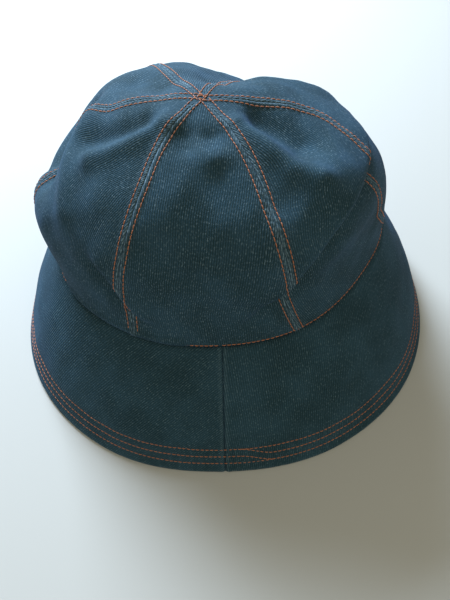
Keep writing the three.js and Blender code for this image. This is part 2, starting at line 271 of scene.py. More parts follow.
# %% The plain dome
def section(column, level):
    sign = -1 if column == "out" else 1
    at = np.concatenate([SECTION["level"], 2 - SECTION["level"][-2:-4:-1]])
    values = np.concatenate([SECTION[column], sign * SECTION[column][-2:-4:-1]])
    return curve(at, values, level)


def swell(column, angle):
    at, values = SWELL["angle"], SWELL[column]
    at = np.concatenate([at[-2:] - TURN, at, at[:3] + TURN])
    values = np.concatenate([values[-2:], values, values[:3]])
    return HEAD_RADIUS * curve(at, values, (angle + TURN / 2) % TURN - TURN / 2)


def on_ring(x, y, radius, angle, height):
    turn = np.radians(angle)
    return np.stack(np.broadcast_arrays(x + radius * np.sin(turn), y - radius * np.cos(turn), height), -1)


def plain_crown(angle, level):
    """The crown's outer face before any fold."""
    weight = {part: section(part, level) for part in ("rim", "belly", "shoulder")}
    radius = (HEAD_RADIUS * section("out", level)
              + sum(w * swell(p + "_out", angle) for p, w in weight.items()))
    height = (SEAM_HEIGHT + CROWN_HEIGHT * section("up", level)
              + sum(w * swell(p + "_up", angle) for p, w in weight.items()))
    lean = np.power(np.maximum(level, 0), AXIS_BEND)
    x, y = (HEAD_RADIUS * (low + (high - low) * lean) for low, high in zip(SEAM_AXIS, TOP_AXIS))
    return on_ring(x, y, radius, angle, height)


TOP = plain_crown(np.array(0.0), np.array(1.0))
print("top at", TOP.round(4))

# %% [markdown]
# ## The brim's slope
#
# The brim falls from the crown's seam to its edge on the floor. Its two ends are known at every angle,
# so it is a straight cone with a slight belly added square to the slope, as firm doubled cloth has.
# Reach runs from the seam (0) to the edge (1).

# %% The brim's slope
def brim_face(angle, reach):
    """The brim's upper face."""
    angle, reach = np.broadcast_arrays(np.asarray(angle, float), np.asarray(reach, float))
    seam = plain_crown(angle, np.zeros_like(angle))
    x, y = (HEAD_RADIUS * share for share in EDGE_AXIS)
    fall = on_ring(x, y, EDGE_RADIUS + swell("edge_out", angle), angle, 0.0) - seam
    turn = np.radians(angle)
    outward = unit(np.stack([-fall[..., 2] * np.sin(turn), fall[..., 2] * np.cos(turn),
                             np.hypot(fall[..., 0], fall[..., 1])], -1))
    return seam + fall * reach[..., None] + outward * (BRIM_BOW * np.sin(np.pi * reach))[..., None]


edge = brim_face(np.arange(0, TURN, 1.0), np.ones(TURN))
print("brim across and deep", (np.ptp(edge, axis=0)[:2] / MM).round(1), "mm")

# %% [markdown]
# ## Which way the cloth faces
#
# Folds and stitches stand off the cloth, so its facing is needed. It could be worked out by calculus.
# Looking at the surface a small step to each side is simpler and works for every face in this lesson.

# %% Facing
def facing(face, angle, level, angle_step=4, level_step=0.035):
    """The cloth's ways round, up and out at a point."""
    around = unit(face(angle + angle_step, level) - face(angle - angle_step, level))
    above, below = np.minimum(level + level_step, 1), np.maximum(level - level_step, 0)
    up = unit(face(angle, above) - face(angle, below))
    return around, up, unit(np.cross(around, up))


print("the front faces", facing(plain_crown, np.array(0.0), np.array(0.3))[2].round(2))

# %% [markdown]
# ## Following a fold's line
#
# Each line is laid over the plain dome as a run of points. A place on the cloth then belongs to the
# nearest of them, and what matters is how far it stands above the line, how far past an end, and at
# which part of the line. The side turns smoothly from point to point, which keeps the tucks free of
# small steps.

# %% Lines of the folds
LINE_STEPS = 12


def traced(fold):
    """Adds to a fold the points of its line, with the ways along it and to its upper side."""
    rows = np.array(fold["line"], float)
    count = (len(rows) - 1) * LINE_STEPS
    steps = np.arange(count + 1) / LINE_STEPS
    spots = [curve(np.arange(len(rows)), rows[:, k], steps) for k in (0, 1)]
    points = plain_crown(*spots)
    ends = np.pad(points, ((1, 1), (0, 0)), mode="edge")
    along = unit(ends[2:] - ends[:-2])
    out = facing(plain_crown, *spots)[2]
    length = np.linalg.norm(np.diff(points, axis=0), axis=-1).sum()
    return dict(fold, points=points, along=along, side=np.cross(out, along), length=length)


def standing(fold, points):
    """How far above a fold's line points stand, how far past its ends, the side, and at which part of it."""
    gaps = np.linalg.norm(points[..., None, :] - fold["points"], axis=-1)
    nearest = gaps.argmin(-1)
    away = points - fold["points"][nearest]
    wide = HEAD_RADIUS * fold["wide"]
    ahead = (away * fold["along"][nearest]).sum(-1)
    last = len(fold["points"]) - 1
    at_end = (nearest == 0) | (nearest == last)
    turned = np.clip(ahead / (fold["length"] / last), -1, 1)
    other = np.clip(nearest + np.sign(turned).astype(int), 0, last)
    side = fold["side"][nearest]
    side = unit(side + (fold["side"][other] - side) * np.abs(turned)[..., None])
    part = nearest / last + ahead / fold["length"]
    return (away * side).sum(-1) / wide, np.where(at_end, ahead / wide, 0), side, part


RIDGE_LINES = [traced(fold) for fold in RIDGES]
TUCK_LINES = [traced(fold) for fold in TUCKS]
print("longest tuck", round(max(fold["length"] for fold in TUCK_LINES) / MM), "mm")

# %% [markdown]
# ## The folded crown
#
# A ridge lifts the cloth by a bell across its line. A tuck rises in an eased step at its line: the
# cloth above stands out and is dragged down over the line, and the cloth below is pinched in. The four
# values are how far a tuck reaches below its line and drags above it, as shares of its width, how
# softly it ends, and how far up the stiff brim seam holds everything flat.

# %% The folded crown
TUCK_PINCH = 0.5
TUCK_SAG = 0.6
FADE = 0.25
SEAM_HOLD = 0.09


def crown_face(angle, level):
    """The crown's outer face with its ridges, dents and tucks."""
    angle, level = np.broadcast_arrays(np.asarray(angle, float), np.asarray(level, float))
    point = plain_crown(angle, level)
    out = facing(plain_crown, angle, level)[2]
    free = eased(level / SEAM_HOLD)
    moved = point.copy()
    for ridge in RIDGE_LINES:
        above, past, _, _ = standing(ridge, point)
        moved += out * (free * HEAD_RADIUS * ridge["lift"] * bell(above) * bell(past))[..., None]
    for tuck in TUCK_LINES:
        above, past, side, part = standing(tuck, point)
        left = free * bell(past) * eased(part / FADE) * eased((1 - part) / FADE)
        rise = eased(above * tuck["wide"] / tuck["step"] + 0.5)
        high, low = bell(np.maximum(above, 0)), bell(np.minimum(above, 0) / TUCK_PINCH)
        stand = tuck["lift"] * rise * high - tuck["sink"] * (1 - rise) * low
        hang = tuck["hang"] * rise * bell(np.maximum(above, 0) / TUCK_SAG)
        moved += (out * (HEAD_RADIUS * stand * left)[..., None]
                  - side * (HEAD_RADIUS * hang * left)[..., None])
    return moved


place = crown_face(np.array(0.0), np.array(0.5))
print("halfway up the front the folds move the cloth",
      round(float(np.linalg.norm(place - plain_crown(np.array(0.0), np.array(0.5)))) / MM, 1), "mm")

# %% [markdown]
# ## Waves of washed cloth
#
# Washed denim never lies quite flat between its seams. A displacement texture would do, but a sum of a
# few sine waves in random directions is enough, and it costs nothing to ask for its height anywhere.
# The stitches ask for it too, so that they lie on the cloth. It dies away at the brim seam and inside
# the brim's stitched border.

# %% Waves
BORDER = 20 * MM
CROWN_WAVES = {"longest": 46 * MM, "shortest": 11 * MM, "height": 0.28 * MM}
BRIM_WAVES = {"longest": 60 * MM, "shortest": 14 * MM, "height": 0.25 * MM}
WAVE_HOLD = 0.1
rng = np.random.default_rng(7)
WAVES = [(rng.normal(size=3), rng.uniform(0, 2 * np.pi)) for _ in range(14)]


def wrinkles(points, longest, shortest, height):
    """The height of soft random waves over the cloth."""
    total = np.zeros(points.shape[:-1])
    for k, (way, phase) in enumerate(WAVES):
        length = longest * (shortest / longest) ** (k / (len(WAVES) - 1))
        total += np.sin(points @ (way / np.linalg.norm(way)) * 2 * np.pi / length + phase)
    return total / math.sqrt(len(WAVES)) * height


def crown_wrinkles(points, level):
    """Soft uneven waves of the crown's open cloth."""
    return wrinkles(points, **CROWN_WAVES) * eased(level / WAVE_HOLD)


def brim_wrinkles(points, off):
    """Soft uneven waves of the brim above its stitched border."""
    return wrinkles(points, **BRIM_WAVES) * eased(off / BORDER)


print(len(WAVES), "waves")

# %% [markdown]
# ## The relief of a sewn seam
#
# Up close no sewn seam is smooth. A pressed-open seam lies as a raised band with a groove along its
# middle, the topstitching pulls a narrow channel each side, and the washed cloth ropes into slanted
# puckers. Each of these is a bell at its own distance from the seam, so they fit in a table in
# millimetres: plain is a part of the height that is always there, and roped is a part that comes and
# goes along the seam. The puckers slant, and their places wander a little. They also rub pale, so a
# second table says how pale, and both are kept with the mesh.

# %% Seam relief
ROW_OFF = 2.8 * MM
PUCKER_PITCH = 3.6
BAND_RISE = 0.45
BAND_HALF = 4.6
BAND_SLOPE = 1.8
PUCKER_SLANT = 1.1
WANDERS = named("size length phase", [
    (0.8, 6.1, 1),
    (0.6, 3.3, 2),
])
SEAM_HEIGHTS = named("middle half plain roped", [
    (0.0, 0.35, -0.32, 0.0),
    (1.2, 0.9, 0.12, 0.2),
    (ROW_OFF / MM, 0.6, -0.4, 0.0),
    (4.6, 1.6, 0.0, 0.1),
])
SEAM_RUBBING = named("middle half plain roped", [
    (0.6, 0.5, 0.5, 0.0),
    (1.3, 0.8, 0.0, 0.5),
    (4.4, 1.1, 0.0, 0.15),
])


def across(rows, x, rope):
    """The sum of a table's bells at a distance, with the part of each that follows the rope."""
    return sum((row["plain"] + row["roped"] * rope) * bell((x - row["middle"]) / row["half"])
               for row in rows)


def seam_relief(off, along, hand):
    """Height over a pressed-open seam, off it and along it, and how pale the cloth is rubbed there."""
    x, y = off / MM, along / MM
    wander = sum(w["size"] * np.sin(y / w["length"] + w["phase"] * hand) for w in WANDERS)
    rope = np.sin(2 * np.pi * (y + PUCKER_SLANT * hand * x + wander) / PUCKER_PITCH)
    band = BAND_RISE * eased((BAND_HALF - x) / BAND_SLOPE)
    pale = across(SEAM_RUBBING, x, np.clip(rope, 0, 1))
    return (band + across(SEAM_HEIGHTS, x, rope)) * MM, np.clip(pale, 0, 1)


print("on the seam the cloth stands", round(float(seam_relief(0.0, 0.0, 1)[0]) / MM, 2), "mm high")

# %% [markdown]
# ## Cloth that sags over the brim seam
#
# On the left front the crown's cloth sags low enough to hide the row of stitches round the brim seam.
# Moving the whole crown for that would be heavy handed. One value between 0 and 1 says where it sags,
# and the seam's roll of cloth, its groove and its stitches all follow it.

# %% Sagging cloth
SAG_LEFT = (-62, 6)
SAG_RIGHT = (-9, 9)


def slack(angle):
    """1 where the crown's cloth sags over the brim seam on the left front, and 0 elsewhere."""
    turned = (np.asarray(angle, float) + TURN / 2) % TURN - TURN / 2
    return eased((turned - SAG_LEFT[0]) / SAG_LEFT[1]) * eased((SAG_RIGHT[0] - turned) / SAG_RIGHT[1])


print("sagging over", int((slack(np.arange(-180, 180)) > 0.5).sum()), "degrees of the hat")

# %% [markdown]
# ## Meshes with cloth coordinates
#
# Each piece is a grid of points turned into a closed shell: the seen face, the same face moved inwards
# by the cloth's thickness, and a rim that joins them. A solidify modifier could add the thickness, but
# here the rims have to follow the seams exactly. Each mesh also keeps two maps: where a point lies in
# its flat cloth, for the weave, and how much it is rubbed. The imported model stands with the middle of
# its outline over the origin, so every mesh is shifted there.

# %% Mesh builders
SHIFT = np.append((edge.min(0) + edge.max(0))[:2] / 2, 0)


def make_object(name, points, faces, maps):
    """A smooth mesh object from points and lists of corners, with a UV map for each entry of maps."""
    mesh = bpy.data.meshes.new(name)
    mesh.from_pydata((points.reshape(-1, 3) - SHIFT).tolist(), [], faces)
    mesh.polygons.foreach_set("use_smooth", [True] * len(mesh.polygons))
    loops = np.empty(len(mesh.loops), int)
    mesh.loops.foreach_get("vertex_index", loops)
    for layer, values in maps.items():
        uv = mesh.uv_layers.new(name=layer)
        uv.data.foreach_set("uv", values.reshape(-1, 2).astype(np.float32)[loops].ravel())
    obj = bpy.data.objects.new(name, mesh)
    bpy.context.scene.collection.objects.link(obj)
    return obj


def shell_faces(rows, columns):
    """Faces of a closed shell of two grids, the outer one first. Rows go up and columns go right."""
    grid = np.arange(rows * columns).reshape(rows, columns)

    def quads(g):
        return np.stack([g[:-1, :-1], g[:-1, 1:], g[1:, 1:], g[1:, :-1]], -1).reshape(-1, 4)

    ring = np.concatenate([grid[0, :], grid[1:, -1], grid[-1, -2::-1], grid[-2:0:-1, 0]])
    after = np.roll(ring, -1)
    back = rows * columns
    rim = np.stack([after, ring, ring + back, after + back], -1)
    return np.concatenate([quads(grid), quads(grid + back)[:, ::-1], rim]).tolist()


def cloth_shell(name, outer, inner, weave, pale):
    """A closed shell of cloth between two grids, with both its maps."""
    wear = np.stack([pale, pale], -1)
    maps = {"weave": np.stack([weave, weave]), "wear": np.stack([wear, wear])}
    return make_object(name, np.stack([outer, inner]), shell_faces(*outer.shape[:2]), maps)


print("shift", (SHIFT / MM).round(2), "mm;", len(shell_faces(3, 3)), "faces in a shell of 3 by 3 points")

# %% [markdown]
# ## Cutting the cloth at the seams
#
# Where crown and brim meet at an angle, both thicknesses are cut along the line halfway between them,
# like the corner of a picture frame, so that neither pokes through the other. Distances over the cloth
# are summed along the grid, since the stitched bands keep their width however the cloth bends.

# %% Cuts and distances
def grid_normals(points):
    """The outward way at each point of a grid."""
    return unit(np.cross(np.gradient(points, axis=1), np.gradient(points, axis=0)))


def mitre(angle):
    """The way between the crown's and the brim's, stretched so that their inner faces meet at the seam."""
    crown = facing(crown_face, angle, np.zeros_like(angle), 1, 0.01)[2]
    brim = -facing(brim_face, angle, np.zeros_like(angle), 1, 0.02)[2]
    between = unit(crown + brim)
    return between / (between * crown).sum(-1, keepdims=True)


def seam_angle(number, level):
    turns, row = divmod(number, len(SEAMS))
    return curve(SEAM_LEVELS, list(SEAMS.values())[row], level) + TURN * turns


def lengths(points, axis):
    """Running length along an axis of a grid of points."""
    steps = np.linalg.norm(np.diff(points, axis=axis), axis=-1)
    return np.concatenate([np.zeros_like(np.take(steps, [0], axis)), np.cumsum(steps, axis)], axis)


print("the front panel is", seam_angle(1, 0.0) - seam_angle(0, 0.0), "degrees wide at the brim")

# %% [markdown]
# ## A panel's grid
#
# Each panel could be one even grid, but its seams need vertices half a millimetre apart and the open
# cloth doesn't. So the columns are laid by true distance: close together within a few millimetres of
# each seam and wider between. Near the top the stitched bands draw in, where six of them meet. The
# cloth coordinates are turned a little, as the twill lines run across a panel's length.

# %% A panel's grid
SEAM_ZONE = 8 * MM
ZONE_SHARE = 0.4
SEAM_COLUMNS = 16
OPEN_COLUMNS = 30
COARSE_COLUMNS = 17
TOP_DRAW = 0.75
DRAW_LEVELS = 0.2
CLOTH_UNIT = 100 * MM


def drawn(level):
    """How much narrower a seam's stitched band is near the top."""
    return TOP_DRAW + (1 - TOP_DRAW) * eased((1 - level) / DRAW_LEVELS)


def turned_cloth(sideways, lengthways, lean):
    """Cloth coordinates turned so that the twill lines lean clockwise from the piece's axis."""
    turn = math.radians(lean)
    return np.stack([sideways * math.cos(turn) - lengthways * math.sin(turn),
                     sideways * math.sin(turn) + lengthways * math.cos(turn)], -1) / CLOTH_UNIT


def panel_grid(number, levels):
    """Angles over a panel's grid, the distances from its left seam, and its width by level."""
    coarse = np.linspace(0, 1, COARSE_COLUMNS)
    left, right = seam_angle(number, levels), seam_angle(number + 1, levels)
    run = lengths(crown_face(left[:, None] + (right - left)[:, None] * coarse, levels[:, None]), 1)
    width = run[:, -1]
    zone = np.minimum(SEAM_ZONE, ZONE_SHARE * width)[:, None]
    near = np.linspace(0, 1, SEAM_COLUMNS)
    between = np.linspace(0, 1, OPEN_COLUMNS + 2)[1:-1]
    off = np.concatenate([near * zone, zone + between * (width[:, None] - 2 * zone),
                          width[:, None] - near[::-1] * zone], 1)
    share = np.stack([np.interp(row, length, coarse) for row, length in zip(off, run)])
    return left[:, None] + (right - left)[:, None] * share, off, width


print(2 * SEAM_COLUMNS + OPEN_COLUMNS, "columns in a panel")

# %% [markdown]
# ## The height of a crown panel
#
# All the small heights of a panel come together here: both seams, the waves, the groove where the brim
# is sewn on and the slight roll above it. Where a panel is narrower than its two stitched bands, near
# the top, the seams' relief calms down, or the bands would pile up. Each hump or groove that runs along
# a seam or an edge is named in one table, with its middle, half its width and its height in
# millimetres. The brim's own are in it too.

# %% Heights over a panel
HUMPS = {
    "rim groove": (0.0, 0.7, 0.7),
    "rim roll": (3.0, 2.6, 1.1),
    "rim puckers": (3.4, 1.6, 0.22),
    "edge roll": (2.6, 2.2, 0.45),
    "row channel": (0.0, 0.7, -0.28),
    "row puckers": (1.6, 1.2, 0.1),
    "brim groove": (0.0, 0.8, -0.6),
    "brim roll": (2.4, 1.8, 0.3),
    "end groove": (0.0, 0.6, -0.8),
    "end roll": (2.0, 1.6, 0.3),
    "pale edge": (1.2, 1.0, 0.35),
    "pale rows": (9, 7, 0.12),
    "pale end": (1.4, 0.9, 0.3),
}
RIM_RISE = 115
RIM_PUCKERS = 2.1
SAG_FILL = 0.8
CALM_FROM = 2
CALM_OVER = 10


def hump(name, x):
    """The height of a hump or groove at a distance in millimetres."""
    middle, half, height = HUMPS[name]
    return height * bell((x - middle) / half)


def panel_relief(face, angles, levels, off, width, rise):
    """Heights over a panel's grid, and how pale the cloth is rubbed there."""
    to_right = width[:, None] - off
    draw = drawn(levels)[:, None]
    left_height, left_pale = seam_relief(off / draw, rise[:, :1], 1)
    right_height, right_pale = seam_relief(to_right / draw, rise[:, 1:], -1)
    calm = eased((width / MM - CALM_FROM) / CALM_OVER)[:, None]
    height = (left_height + right_height) * calm + crown_wrinkles(face, levels[:, None])
    from_brim = levels[:, None] * RIM_RISE
    sag = slack(angles)
    height += (sag * hump("rim roll", from_brim) - (1 - SAG_FILL * sag) * hump("rim groove", from_brim)) * MM
    height += hump("rim puckers", from_brim) * MM * np.sin(angles * RIM_PUCKERS)
    return height, np.clip(left_pale + right_pale, 0, 1) * calm


print(len(HUMPS), "humps and grooves")

# %% [markdown]
# ## Crown panels
#
# On the real hat each panel is a wedge of denim, wide at the brim and pointed at the top. Here it is a
# shell over its grid. The two panels of a seam have to agree on which way is out, so the facing is
# worked out over one column more on each side.

# %% Crown panels
PANEL_ROWS = 176
TOP_LEVEL = 0.9985
TWILL_LEAN = 8
BEYOND = 0.4


def crown_panel(name, number):
    levels = np.linspace(0, TOP_LEVEL, PANEL_ROWS)
    angles, off, width = panel_grid(number, levels)
    face = crown_face(angles, levels[:, None])
    beyond = [crown_face(angles[:, k] + step, levels)[:, None] for k, step in ((0, -BEYOND), (-1, BEYOND))]
    normal = grid_normals(np.concatenate([beyond[0], face, beyond[1]], 1))[:, 1:-1]
    seams = [crown_face(seam_angle(k, levels), levels) for k in (number, number + 1)]
    rise = np.stack([lengths(seam, 0) for seam in seams], -1)
    height, pale = panel_relief(face, angles, levels, off, width, rise)
    outer = face + normal * height[..., None]
    inner = face - normal * CLOTH
    inner[0] = face[0] - mitre(angles[0]) * CLOTH
    middle = lengths(crown_face((angles[:, 0] + angles[:, -1]) / 2, levels), 0)
    weave = turned_cloth(off - width[:, None] / 2, middle[:, None], TWILL_LEAN)
    obj = cloth_shell(name, outer, inner, weave, pale)
    print(name, len(obj.data.polygons), "faces, widest", round(width.max() / MM), "mm")
    return obj


PANELS = ("front", "front_right", "back_right", "back", "back_left", "front_left")
crown_pieces = {}
for number, place in enumerate(PANELS):
    panel = crown_panel("denim_crown_" + place, number)
    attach(panel, "root")
    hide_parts("crown_panel_" + place)
    crown_pieces[place] = panel

# %% [markdown]
# ## The brim's edge rows
#
# The brim's edge is topstitched with three rows, and on the real hat they are one spiral of thread: at
# each turn it shifts over to the next row. The rows are needed twice, for the channels in the cloth and
# for the stitches, so the spiral is one function of the angle turned.

# %% Edge rows
EDGE_ROWS = (17 * MM, 12 * MM, 7 * MM)
SPIRAL_START = 4.0
SPIRAL_SHIFT = 9.0
SLOPE_POINTS = 25


def spiral_off(turned):
    """The thread's distance from the edge after an angle turned since the spiral's start."""
    turn, rest = np.divmod(turned, TURN)
    row = np.clip(turn.astype(int), 0, len(EDGE_ROWS) - 1)
    before = np.array(EDGE_ROWS)[np.maximum(row - 1, 0)]
    here = np.array(EDGE_ROWS)[row]
    return np.where(row > 0, before + (here - before) * eased(rest / SPIRAL_SHIFT), here)


def border_rows(angle):
    """The distances of the three edge rows at an angle."""
    rest = (np.asarray(angle, float) - SPIRAL_START) % TURN
    return [spiral_off(rest + TURN * k) for k in range(len(EDGE_ROWS))]


def brim_slope(angle):
    """The length of the brim's slope from seam to edge at each angle."""
    line = brim_face(np.asarray(angle)[:, None], np.linspace(0, 1, SLOPE_POINTS))
    return np.linalg.norm(np.diff(line, axis=1), axis=-1).sum(1)


print("slope in front", round(float(brim_slope(np.array([0.0]))[0]) / MM), "mm")

# %% [markdown]
# ## The brim's relief
#
# The turned edge is a soft round roll, each row of stitches sits in a shallow channel with faint
# puckers beside it, and the brim sinks into a groove where it meets the crown. As in the crown, heights
# are in millimetres, and where the cloth stands proud it is rubbed pale.

# %% Brim relief
EDGE_PUCKER = 6.3
PUCKER_DRIFT = (0.8, 9.0)
ROUNDING = 1.3


def brim_relief(angle, off, slope):
    """Height over the brim's stitched border, and how pale the cloth is rubbed there."""
    along, x = np.radians(angle) * EDGE_RADIUS / MM, off / MM
    height = hump("edge roll", x) - ROUNDING * np.square(np.clip(1 - x / ROUNDING, 0, 1))
    drift = PUCKER_DRIFT[0] * np.sin(along / PUCKER_DRIFT[1])
    pucker = np.sin(along * 2 * np.pi / EDGE_PUCKER + drift)
    for row in border_rows(angle):
        from_row = (off - row) / MM
        height += hump("row channel", from_row) + pucker * hump("row puckers", np.abs(from_row))
    to_crown = (slope - off) / MM
    height += (1 - SAG_FILL * slack(angle)) * hump("brim groove", to_crown) + hump("brim roll", to_crown)
    return height * MM, hump("pale edge", x) + np.clip(pucker, 0, 1) * hump("pale rows", x)


def end_relief(to_seam):
    """Height beside the seam at each end of a half brim, and how pale the cloth is rubbed there."""
    x = to_seam / MM
    return (hump("end groove", x) + hump("end roll", x)) * MM, hump("pale end", x)


print("edge puckers every", EDGE_PUCKER, "mm")

# %% [markdown]
# ## The grid of a brim layer
#
# The grid runs by distance from the edge, close together over the stitched border and wider above it,
# and closer near the end seams. The hidden under layer gets by with far fewer points.

# %% Grid of a brim layer
BORDER_ROWS = 26
BRIM_ROWS = 26
BRIM_COLUMNS = 250
HIDDEN_ROWS = 8
HIDDEN_COLUMNS = 90
END_ZONE = 5
END_COLUMNS = 14


def brim_grid(start, fine):
    """Angles of a half brim's columns, the slope's length at each, and the distances off the edge."""
    border = np.linspace(0, BORDER, BORDER_ROWS if fine else HIDDEN_ROWS)
    shares = np.linspace(0, 1, BRIM_ROWS if fine else HIDDEN_ROWS)[1:]
    half = TURN // 2
    angles = start + np.concatenate([
        np.linspace(0, END_ZONE, END_COLUMNS)[:-1],
        np.linspace(END_ZONE, half - END_ZONE, BRIM_COLUMNS if fine else HIDDEN_COLUMNS),
        np.linspace(half - END_ZONE, half, END_COLUMNS)[1:],
    ])
    total = brim_slope(angles)
    off = np.concatenate([np.broadcast_to(border[:, None], (len(border), len(angles))),
                          BORDER + shares[:, None] * (total - BORDER)], 0)
    return angles, total, off


print("a fine layer has", brim_grid(0, True)[2].size, "points on a face")

# %% [markdown]
# ## The brim
#
# The real brim is two layers of denim sewn face to face round the edge, turned, and topstitched. Each
# layer is split at the front and back. The under layer could be left out, since it never shows from
# above, but the hat is judged from low angles too. For the weave, each half is unrolled as a flat ring
# of cloth. The edge is cut level with the floor, so that the hat rests on it.

# %% Brim layers
BRIM_SWEEP = 0.66
UNROLLED = 205 * MM
LAYER_GAP = 0.1 * MM


def brim_layer(name, start, depth, fine):
    angles, total, off = brim_grid(start, fine)
    grid_angles = np.broadcast_to(angles, off.shape)
    face = brim_face(grid_angles, 1 - off / total)
    normal = grid_normals(face)
    side = np.minimum(grid_angles - start, start + TURN / 2 - grid_angles)
    to_seam = np.radians(side) * np.hypot(face[..., 0], face[..., 1])
    height, pale = brim_relief(grid_angles, off, total)
    end_height, end_pale = end_relief(to_seam)
    height = (height + end_height + brim_wrinkles(face, off)) * (1.0 if fine else 0.0)
    outer = face + normal * (height - depth)[..., None]
    inner = face - normal * (depth + BRIM_LAYER)
    inner[-1] = face[-1] - mitre(angles) * (depth + BRIM_LAYER)
    for grid in (outer, inner):
        grid[..., 2] = np.maximum(grid[..., 2], 0.0)
    sweep = np.radians(grid_angles) * BRIM_SWEEP
    ray = UNROLLED - off
    weave = turned_cloth(ray * np.sin(sweep), -ray * np.cos(sweep), -TWILL_LEAN)
    obj = cloth_shell(name, outer, inner, weave, np.clip(pale + end_pale, 0, 1))
    slopes = f"slope {total.min() / MM:.0f} to {total.max() / MM:.0f} mm"
    print(name, len(obj.data.polygons), "faces,", slopes)
    return obj


brim_pieces = {}
for half, start in (("right", 0), ("left", 180)):
    for layer, depth, fine in (("top", 0.0, True), ("under", BRIM_LAYER + LAYER_GAP, False)):
        piece = brim_layer(f"denim_brim_{layer}_{half}", start, depth, fine)
        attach(piece, "root")
        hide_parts(f"brim_{layer}_{half}")
        brim_pieces[layer + "_" + half] = piece

# %% [markdown]
# ## Laying stitches along a row
#
# Each stitch is a short length of thick thread that comes up, lies on the cloth and goes down again. A
# texture could draw it flat, but the thread stands proud and catches light. A row is a dense line of
# points on the cloth with the way out at each, and the stitches are laid along it by length, with the
# slight slack and skew of real sewing.

# %% Stitches along a row
STITCH = 2.7 * MM
DASH = 2.4 * MM
THREAD = 0.28 * MM
STATIONS = 7
LOOSE = 0.06 * MM


def laid(rows):
    """The middle line of every stitch of some rows and the way out along it; a row is (points, ways out)."""
    made = []
    for points, out in rows:
        run = lengths(points, 0)
        count = int((run[-1] - DASH) // STITCH) + 1
        if count < 1:
            continue
        loose = rng.normal(0, LOOSE, (count, 1))
        at = np.arange(count)[:, None] * STITCH + np.linspace(0, DASH, STATIONS) + loose
        centre = np.stack([np.interp(at, run, points[:, k]) for k in range(3)], -1)
        way = unit(np.stack([np.interp(at, run, out[:, k]) for k in range(3)], -1))
        made.append((centre, way))
    return np.concatenate([c for c, _ in made]), np.concatenate([w for _, w in made])


print("a stitch every", round(STITCH / MM, 2), "mm")

# %% [markdown]
# ## The thread of a stitch
#
# Round the middle line goes a tube of six sides. It arches: thin and low where the needle went in,
# thick and high in the middle. All the stitches of a row share one mesh, because thousands of separate
# objects would be slow.

# %% Thread of a stitch
SIDES = 6
SKEW = 0.05 * MM
ASIDE = 0.04 * MM
ARCH_RISE = 1.2
SUNK = 0.55


def thread_tubes(centre, way, lift):
    """Rings of points round every stitch."""
    arch = np.sin(np.pi * np.linspace(0, 1, STATIONS))
    radius = THREAD * (0.5 + 0.5 * np.sqrt(arch))
    skew = rng.normal(0, SKEW, (len(centre), 1, 1)) * np.linspace(-1, 1, STATIONS)[None, :, None]
    side = unit(np.cross(unit(np.gradient(centre, axis=1)), way))
    rise = (lift + THREAD * (ARCH_RISE * np.sqrt(arch) - SUNK))[None, :, None]
    centre = centre + way * rise + side * (skew + ASIDE)
    turn = (np.arange(SIDES) * 2 * np.pi / SIDES)[None, None, :, None]
    ring = side[:, :, None] * np.cos(turn) + way[:, :, None] * np.sin(turn)
    return centre[:, :, None] + ring * radius[None, :, None, None]


def tube_faces(count):
    """The faces of so many tubes, with both their ends closed."""
    ids = np.arange(STATIONS * SIDES).reshape(STATIONS, SIDES)
    after = np.roll(ids, -1, 1)
    faces = np.stack([ids[:-1], ids[1:], after[1:], after[:-1]], -1).reshape(-1, 4)
    block = STATIONS * SIDES
    made = (faces[None] + np.arange(count)[:, None, None] * block).reshape(-1, 4).tolist()
    for k in range(count):
        made.append((ids[0] + k * block).tolist())
        made.append((ids[-1][::-1] + k * block).tolist())
    return made


print(len(tube_faces(1)), "faces in a stitch")

# %% [markdown]
# ## A row of stitches as one piece
#
# The thread's own map runs along and round each stitch, for the twist of its plies. It could be left
# out and the twist painted by place, but then the plies would not turn with the stitch.

# %% A piece of stitches
def stitch_mesh(name, rows, lift=0.0):
    """One object with all the stitches of some rows."""
    centre, way = laid(rows)
    tube = thread_tubes(centre, way, lift)
    u = np.broadcast_to(np.linspace(0, DASH / (10 * MM), STATIONS)[None, :, None], tube.shape[:3])
    v = np.broadcast_to(np.arange(SIDES) / SIDES, tube.shape[:3])
    obj = make_object(name, tube, tube_faces(len(centre)), {"thread": np.stack([u, v], -1)})
    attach(obj, "root")
    print(name, len(centre), "stitches")


# %% [markdown]
# ## Rows beside the crown seams
#
# Two rows run beside each seam, from the brim up to the top, where they run straight on and cross the
# rows of the seam opposite in a small star. Near the top an angle and a level no longer say much, so
# there the row is laid in plan and the crown is asked where that place lies, by closing in on it in a
# few steps.

# %% Rows beside the crown seams
OVER_TOP = 1.5 * MM
SEAM_ROW_LIFT = 0.1 * MM
SEAM_THREAD_LIFT = 0.12 * MM
ROW_LEVELS = (0.012, 0.92)
ROW_POINTS = 500
TOP_POINTS = 60
TOP_LEVELS = (1, 0.75)
CLOSING_STEPS = 8
AHEAD = 24
FACING_LIMIT = 0.98


def over_top(target):
    """The angle and level of the crown at plan points near its top."""
    fine = np.linspace(*TOP_LEVELS, TOP_POINTS)
    radius = HEAD_RADIUS * section("out", fine)
    aim = target.copy()
    for _ in range(CLOSING_STEPS):
        gap = aim - TOP[:2]
        angle = np.degrees(np.arctan2(gap[:, 0], -gap[:, 1]))
        level = np.interp(np.hypot(gap[:, 0], gap[:, 1]), radius, fine)
        aim += target - crown_face(angle, level)[:, :2]
    return angle, level


